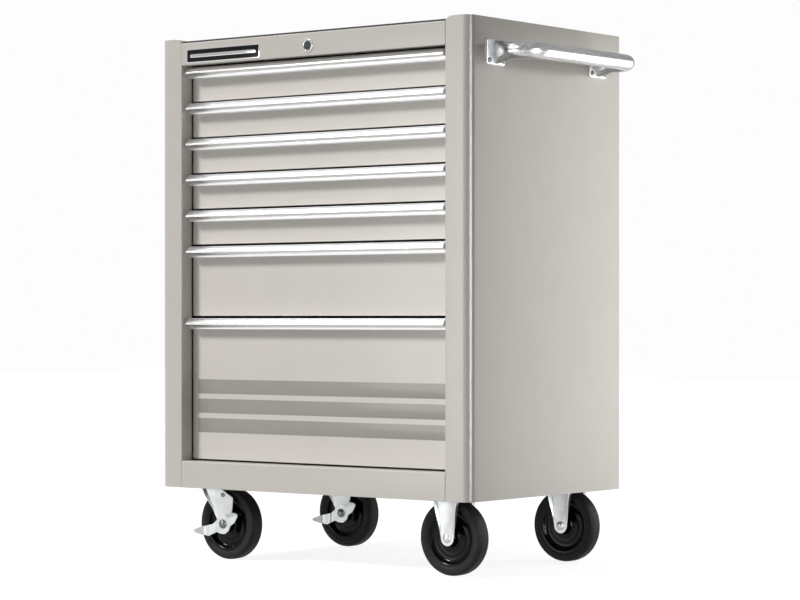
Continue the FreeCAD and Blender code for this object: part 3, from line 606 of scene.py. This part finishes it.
def swivel_fork(caster, origin, top, plate):
    """The cheeks, crown and race of a swivel caster, turning under its top plate."""
    crown_top = top - PLATE_SHEET - RACE_HIGH
    leg_top = crown_top - CROWN_GAP
    corners = FOOT + [(24, 47, 3), (0, 60.5, 4), (0, leg_top, 0), (-51, leg_top, 0)]

    def rim(p):
        return 5 * smooth_step((p.y - 9) / 44) * smooth_step((-6 - p.x) / 8)
    body = caster + "_swivel"
    cheeks = [leg(caster + "_cheek", corners, origin, side, rim, 3.6, SPLAY) for side in (-1, 1)]
    crown = level_plate(caster + "_crown", -50.6, -0.6, -27.6, 27.6, crown_top - LEG_SHEET,
                        crown_top, 3, origin)
    axis = origin + Vector((-TRAIL, 0, 0))
    race_section = [(7, -0.5), (25.5, -0.5), (26.8, 0.6), (27, 3.4), (25.8, 5.2), (23, 5.8), (7, 5.8)]
    race = turned_z(caster + "_race", [(r, crown_top + z) for r, z in race_section], axis)
    thing = piece(caster + "_fork_body", merged(caster + "_fork_body", cheeks + [crown, race]), ZINC,
                  body, [caster + "_fork"])
    bevelled(thing, 0.0003, 2, 50)
    cover_top = RACE_HIGH + 0.2
    cover_section = [(7, 6.6), (24, 6.6), (27, 7.4), (27, 9.4), (24.5, cover_top), (7, cover_top)]
    cover = turned_z(caster + "_cover", [(r, crown_top + z) for r, z in cover_section], axis)
    pin = dome_head(caster + "_pin", hanging(axis + Vector((0, 0, crown_top - LEG_SHEET))), 9.5, 3.2)
    slab = level_plate(caster + "_slab", -84, 16, -28, 28, top - PLATE_SHEET, top, 6, origin)
    thing = piece(caster + "_plate", merged(caster + "_plate", [cover, pin, slab]), ZINC, "cabinet",
                  ["swivel_top_plates"] if plate else ())
    bevelled(thing, 0.0004, 2, 50)
    out = LEG_HALF + 0.97 * SPLAY
    rivets = [dome_head(caster + "_rivet", at_y(origin + Vector((1, side * out, 51)), side), 3.1, 1.6)
              for side in (-1, 1)]
    piece(caster + "_rivets", merged(caster + "_rivets", rivets), BOLT, body)


def brake(caster, origin):
    """The pressed foot brake: one shaped plate whose pedal and shoe edges curl outwards."""
    corners = [(-15.4, 5.5, 6), (-22, -0.5, 4), (-34, -3.8, 6), (-46, -6.2, 4), (-58.2, -12.2, 2.5),
               (-57.8, -15.4, 2), (-46, -20.2, 5), (-31, -22.4, 6), (-15, -14.4, 5), (-6, -17.2, 5),
               (5, -17.6, 6), (13.6, -11, 4), (17.4, -2.6, 4), (27, 3.2, 6), (34.2, 15.6, 4),
               (31, 20.6, 3), (19, 21.2, 5), (9.5, 17, 4), (-4, 15.6, 7)]
    points = divided(rounded(corners, 3), 1.8)
    front = -(LEG_HALF + LEG_SHEET + LEVER_GAP)

    def curl(u, v):
        pedal = smooth_step((-u - 38) / 22) * 11 + smooth_step((-u - 21) / 5) * 2.2
        shoe = smooth_step((v - 0.32 * u - 7.5) / 5.5) * smooth_step((u - 6) / 9) * 5
        return pedal + shoe

    def place(u, v, h):
        return (origin + Vector((u, front - curl(u, v) + h, v))) * MM
    plate = sheet_plate(caster + "_lever_plate", points, [ring_of(5.2, 24)], place, LEG_SHEET, 2.0)
    thing = piece(caster + "_lever", plate, ZINC, caster + "_brake", [caster + "_brake_lever"], 55)
    bevelled(thing, 0.0004, 2, 60)


def casters():
    """All four casters, on the places of the CAD's tyres and under the CAD's bottom pan."""
    pan = max(v.co.z for v in NODES["swivel_top_plates"].data.vertices) / MM
    for caster in ("front_right", "rear_right", "front_left", "rear_left"):
        low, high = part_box(caster + "_tyre")
        origin = (low + high) / 2 / MM
        top = pan - origin.z
        tyre(caster, origin)
        hub(caster, origin)
        first = caster.startswith("front")
        if caster.endswith("right"):
            fixed_fork(caster, origin, top, ["fixed_caster_forks"] if first else ())
            body, mat, replaced = "cabinet", ZINC, ()
            front_face, under, middle, reach = LEG_HALF, LEG_SHEET, origin, FIXED_BOLTS
        else:
            swivel_fork(caster, origin, top, first)
            brake(caster, origin)
            body, mat, replaced = caster + "_swivel", BOLT, [caster + "_axle"]
            front_face = LEG_HALF + LEG_SHEET + 2 * LEVER_GAP
            under, middle, reach = PLATE_SHEET, origin + Vector((-TRAIL, 0, 0)), SWIVEL_BOLTS
        rod = stack(caster + "_rod", ring_of(5, 32), [(1, -front_face), (1, LEG_HALF)], at_y(origin, 1))
        nut = bolt_head(caster + "_nut", at_y(origin + Vector((0, LEG_HALF, 0)), 1), 8, 6)
        dome = dome_head(caster + "_dome", at_y(origin + Vector((0, -front_face, 0)), -1), 7.2, 4.4)
        bolt = merged(caster + "_axle_bolt", [rod, nut, dome])
        piece(caster + "_axle_bolt", bolt, mat, body, replaced, 30)
        heads = []
        for a, b in ((-1, -1), (-1, 1), (1, -1), (1, 1)):
            spot = middle + Vector((a * reach[0], b * reach[1], top - under))
            heads.append(bolt_head(caster + "_plate_bolt", hanging(spot), 5.6, 4.8))
        bolts = merged(caster + "_plate_bolts", heads)
        stands_for = ["bolts_and_screws"] if caster == "front_right" else ()
        piece(caster + "_plate_bolts", bolts, BOLT, "cabinet", stands_for, 30)


casters()


# Grab handle ---------------------------------------------------------------------------------

TUBE_HALF = 13.5
FLARE = 36              # the run over which the tube's pressed end becomes round


def tube_ring(middle, side, distance):
    """A section of the grab tube; side points outwards across it, distance counts from its plate."""
    t = smooth_step(distance / FLARE)
    wide, tall = 8 + 5.5 * t, 19 - 5.5 * t
    pinch = 0.34 * (1 - smooth_step(distance / 26))
    power = 2 / (2.6 - 0.6 * t)
    points = []
    for i in range(48):
        angle = 2 * math.pi * i / 48
        c, s = math.cos(angle), math.sin(angle)
        v = tall * math.copysign(abs(s) ** power, s)
        u = wide * math.copysign(abs(c) ** power, c) * (1 - pinch * (1 - abs(v) / tall) ** 1.5)
        points.append((middle + side * u + Vector((0, 0, v))) * MM)
    return points


def tube_rings(root, out, near, far, z):
    """The grab tube's sections: straight out from one plate, round, along, round and back."""
    bend, steps, turns, middles, round_section = 28, 18, 16, 24, 60
    runs = [root + (out - bend - root) * i / steps for i in range(steps)]
    angles = [math.radians(90 * i / turns) for i in range(turns + 1)]
    rings = [tube_ring(Vector((x, near, z)), Vector((0, -1, 0)), x - root) for x in runs]
    for angle in angles:
        side = Vector((math.sin(angle), -math.cos(angle), 0))
        rings.append(tube_ring(Vector((out - bend, near + bend, z)) + side * bend, side, round_section))
    for i in range(1, middles):
        y = near + bend + (far - near - 2 * bend) * i / middles
        rings.append(tube_ring(Vector((out, y, z)), Vector((1, 0, 0)), round_section))
    for angle in angles:
        side = Vector((math.cos(angle), math.sin(angle), 0))
        rings.append(tube_ring(Vector((out - bend, far - bend, z)) + side * bend, side, round_section))
    return rings + [tube_ring(Vector((x, far, z)), Vector((0, 1, 0)), x - root) for x in reversed(runs)]


def grab_handle():
    """A bent tube whose ends are pressed flat and tall where they meet two screwed plates."""
    low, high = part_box("grab_handle_plates")
    root, thick = high.x / MM, (high.x - low.x) / MM
    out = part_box("grab_handle_tube")[1].x / MM - TUBE_HALF
    z = (low.z + high.z) / 2 / MM
    foot_y, foot_z = 25, 21
    ends = (low.y / MM + foot_y, high.y / MM - foot_y)
    tube = rings_to_mesh("grab_tube", tube_rings(root, out, *ends, z))
    piece("grab_tube", tube, TUBE, "cabinet", ["grab_handle_tube"], 60)

    outline = rounded([(-foot_y, -foot_z), (foot_y, -foot_z), (foot_y, foot_z), (-foot_y, foot_z)], 3.5)
    foot_layers = [(1, 0), (1, thick - 0.9), (0.985, thick - 0.3), (0.965, thick)]
    head_layers = [(1, 0), (1, 0.8), (0.93, 1.5), (0.72, 2.1), (0.5, 2.3), (0.46, 2.2), (0.42, 1.0)]
    screw_y, screw_z = 19, -14
    plates = []
    screws = []
    for y in ends:
        plates.append(stack("foot", outline, foot_layers, at_x(Vector((root - thick, y, z)))))
        for side in (-1, 1):
            spot = Vector((root, y + side * screw_y, z + screw_z))
            screws.append(stack("screw", ring_of(4, 30), head_layers, at_x(spot)))
    piece("grab_feet", merged("grab_feet", plates), ZINC, "cabinet", ["grab_handle_plates"])
    piece("grab_screws", merged("grab_screws", screws), BOLT, "cabinet", (), 35)


grab_handle()


# Front details -------------------------------------------------------------------------------

def raised(name, x0, x1, z0, z1, face, thick, radius, mat, body, edge=0.3):
    """A flat rounded shape standing a little proud of a front face."""
    middle = Vector(((x0 + x1) / 2, face, (z0 + z1) / 2))
    wide, tall = (x1 - x0) / 2, (z1 - z0) / 2
    layers = ((0, 0), (0, thick - edge), (edge * 0.4, thick - edge * 0.3), (edge * 1.4, thick))
    rings = []
    for distance, height in layers:
        a, b = wide - distance, tall - distance
        points = rounded([(-a, -b), (a, -b), (a, b), (-a, b)], max(radius - distance, 0.05))
        rings.append([(middle + Vector((p.x, -height, p.y))) * MM for p in points])
    return piece(name, rings_to_mesh(name, rings), mat, body)


def badge():
    """A blank black badge in a bright rim, with one plain bright bar, on the lock fascia."""
    wide, tall, rim = 168, 24, 1.4
    bar_inset, bar_low, bar_tall = 8, 9, 6
    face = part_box("lock_fascia")[0].y / MM
    x0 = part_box("left_side_panel")[0].x / MM + 62.5
    z0 = 868.6
    x1, z1 = x0 + wide, z0 + tall
    raised("badge_rim", x0, x1, z0, z1, face, 1.1, 3.5, CHROME, "cabinet")
    raised("badge_field", x0 + rim, x1 - rim, z0 + rim, z1 - rim, face, 1.4, 2.4, BADGE, "cabinet")
    raised("badge_bar", x0 + bar_inset, x1 - bar_inset, z0 + bar_low, z0 + bar_low + bar_tall,
           face, 1.7, 2.9, CHROME, "cabinet", 0.2)


def stripes():
    """Three plain printed bands across the foot of the deepest drawer's front."""
    first, pitch, tall, margin = 47, 34, 25, 12
    low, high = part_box("drawer_7_tray")
    face = low.y / MM
    x0, x1 = low.x / MM + margin, high.x / MM - margin
    for i in range(3):
        z0 = low.z / MM + first + i * pitch
        raised("drawer_7_band_%d" % (i + 1), x0, x1, z0, z0 + tall, face, 0.15, 1.0,
               PRINT, "drawer_7", 0.05)


def liners():
    """A ribbed rubber sheet on the floor of each drawer."""
    half, floor_high, top_face, thick = 272.5, 4, 1.6, 1.5
    for number in DRAWERS:
        low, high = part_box("drawer_%d_tray" % number)
        x = (low.x + high.x) / 2 / MM
        y0, y1 = low.y / MM + 15, high.y / MM - 11.5
        points = rounded([(x - half, y0), (x + half, y0), (x + half, y1), (x - half, y1)], 5)
        floor_z = low.z / MM + floor_high

        def place(u, v, h):
            return Vector((u, v, floor_z + top_face - h)) * MM
        sheet = sheet_plate("liner", points, (), place, thick)
        thing = piece("drawer_%d_liner" % number, sheet, LINER, "drawer_%d" % number)
        bevelled(thing, 0.0005, 2, 50)


def post_caps():
    """The strip of each post's top between its front face and its cap, under the same round sweep."""
    wide, sheet, corner = 49, 1.2, 16
    drop, sweep = 7.4, 22
    start = wide - math.sqrt(2 * sweep * drop - drop ** 2)
    for side, inward in (("left", 1), ("right", -1)):
        low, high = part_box(side + "_side_panel")
        outer, front, top = (low.x if inward > 0 else high.x) / MM, low.y / MM, high.z / MM
        arc = [(corner - (corner - sheet) * math.cos(math.radians(a)),
                corner - (corner - sheet) * math.sin(math.radians(a))) for a in range(30, 91, 6)]
        plan = arc + [(wide - 2, sheet), (wide - 0.8, 2.4), (wide - 0.8, 8.5), (3.2, 8.5)]
        points = [Vector((outer + inward * u, front + v)) for u, v in plan]
        if inward < 0:
            points.reverse()

        def place(u, v, h):
            past = max(abs(u - outer) - start, 0)
            return Vector((u, v, top - sweep + math.sqrt(sweep ** 2 - past ** 2) - h)) * MM
        strip = sheet_plate("post_cap", points, (), place, sheet, 2.0)
        piece(side + "_post_cap", strip, CARCASS_PAINTED_SHADE, "cabinet")


badge()
stripes()
liners()
post_caps()


# Camera, floor and light ---------------------------------------------------------------------

def camera():
    """A level camera at the front right, well above the casters."""
    data = bpy.data.cameras.new("camera")
    data.sensor_width = 36
    data.lens = 118.1
    data.shift_y = 0.0221
    data.clip_end = 60
    thing = bpy.data.objects.new("camera", data)
    thing.location = (2.80605, -3.6094, 0.42325)
    thing.rotation_euler = (math.radians(90), 0, math.radians(38.03))
    bpy.context.scene.collection.objects.link(thing)
    bpy.context.scene.camera = thing


def area_light(name, place, target, size, power, colour=(1, 1, 1), height=None):
    """A soft rectangular light that the camera doesn't see."""
    data = bpy.data.lights.new(name, "AREA")
    data.shape = "RECTANGLE"
    data.size = size
    data.size_y = height or size
    data.energy = power
    data.color = colour
    thing = bpy.data.objects.new(name, data)
    thing.location = place
    thing.rotation_euler = (Vector(target) - Vector(place)).to_track_quat("-Z", "Y").to_euler()
    thing.visible_camera = False
    bpy.context.scene.collection.objects.link(thing)
    return thing


def sun(direction, strength, angle):
    """An even key light from a direction, as soft as its angle is wide."""
    data = bpy.data.lights.new("key", "SUN")
    data.energy = strength
    data.angle = math.radians(angle)
    thing = bpy.data.objects.new("key", data)
    thing.rotation_euler = direction.to_track_quat("Z", "Y").to_euler()
    bpy.context.scene.collection.objects.link(thing)


def floor():
    """A plain pale sheet under the casters, with an even glow in plain view and in reflections."""
    bm = bmesh.new()
    bmesh.ops.create_grid(bm, x_segments=1, y_segments=1, size=12)
    mesh_data = from_bmesh("floor", bm)
    mat = new_material("floor_white", (0.25, 0.25, 0.25), 0.9)
    glow = add(mat, "ShaderNodeEmission", Strength=0.86)
    rays = add(mat, "ShaderNodeLightPath")
    both = add(mat, "ShaderNodeAddShader")
    seen = add(mat, "ShaderNodeMixShader")
    shader = mat.node_tree.nodes["Principled BSDF"]
    join(mat, shader, "BSDF", both, 0)
    join(mat, glow, "Emission", both, 1)
    either = add(mat, "ShaderNodeMath", operation="MAXIMUM")
    join(mat, rays, "Is Camera Ray", either, 0)
    join(mat, rays, "Is Glossy Ray", either, 1)
    join(mat, either, "Value", seen, "Fac")
    join(mat, shader, "BSDF", seen, 1)
    join(mat, both, "Shader", seen, 2)
    join(mat, seen, "Shader", mat.node_tree.nodes["Material Output"], "Surface")
    mesh_data.materials.append(mat)
    thing = bpy.data.objects.new("floor", mesh_data)
    thing.location = (0, 0, -0.0005)
    bpy.context.scene.collection.objects.link(thing)


def surroundings(seen, mirrored, lit):
    """A white background that is dimmer in reflections, and dimmer still as light."""
    world = bpy.data.worlds.new("studio")
    world.use_nodes = True
    bpy.context.scene.world = world
    tree = world.node_tree
    rays = tree.nodes.new("ShaderNodeLightPath")
    white = (1, 1, 1, 1)
    shader = tree.nodes["Background"]
    shader.inputs["Color"].default_value = white
    shader.inputs["Strength"].default_value = lit
    for kind, strength in (("Is Glossy Ray", mirrored), ("Is Camera Ray", seen)):
        other = tree.nodes.new("ShaderNodeBackground")
        other.inputs["Color"].default_value = white
        other.inputs["Strength"].default_value = strength
        mix = tree.nodes.new("ShaderNodeMixShader")
        tree.links.new(rays.outputs[kind], mix.inputs["Fac"])
        tree.links.new(shader.outputs[0], mix.inputs[1])
        tree.links.new(other.outputs[0], mix.inputs[2])
        shader = mix
    tree.links.new(shader.outputs[0], tree.nodes["World Output"].inputs["Surface"])


camera()
floor()
surroundings(0.98, 0.55, 0.11)
bpy.context.scene.view_settings.view_transform = "Standard"
sun(Vector((-0.44, -0.642, 0.627)), 2.45, 11)
area_light("side_fill", (0.8, 0.85, 0.45), (0.3, 0.17, 0.5), 0.6, 7.4, (1, 0.975, 0.94), height=1.1)
area_light("front_fill", (-1.6, -4.2, 0.5), (0, -0.2, 0.45), 2.4, 50, height=1.6)
glint = area_light("glint", (1.75, -0.5, 0.5), (0.3, -0.2, 0.5), 0.6, 40, height=1.15)
glint.visible_diffuse = False
area_light("top_left", (-1.9, -0.1, 2.9), (0, -0.2, 0.5), 1.4, 14)
